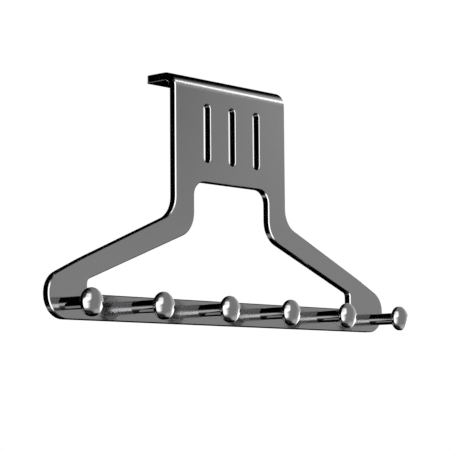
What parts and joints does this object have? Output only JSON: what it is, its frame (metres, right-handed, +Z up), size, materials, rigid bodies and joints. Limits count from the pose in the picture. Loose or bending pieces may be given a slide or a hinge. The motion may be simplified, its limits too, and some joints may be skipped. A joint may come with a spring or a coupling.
{
  "type": "over door hook",
  "caption": "Over door hook of thick polished sheet in the shape of a coat hanger, with a ledge for the door's top and a row of domed pegs along its bar.",
  "frame": {"origin": "middle of the ledge's underside, half way along its reach behind the sheet, where it rests on the top of a door", "axes": "+X along the width, to the right as seen from the front; the pegs point to -Y and the door lies towards +Y; +Z up"},
  "size_m": [0.4016, 0.0696, 0.201],
  "materials": {
    "plate": "dark mirror polish",
    "peg": "bright mirror polish"
  },
  "bodies": {
    "root": {"hanger_plate": "plate", "peg_1": "peg", "peg_2": "peg", "peg_3": "peg", "peg_4": "peg", "peg_5": "peg", "peg_6": "peg"}
  },
  "joints": []
}
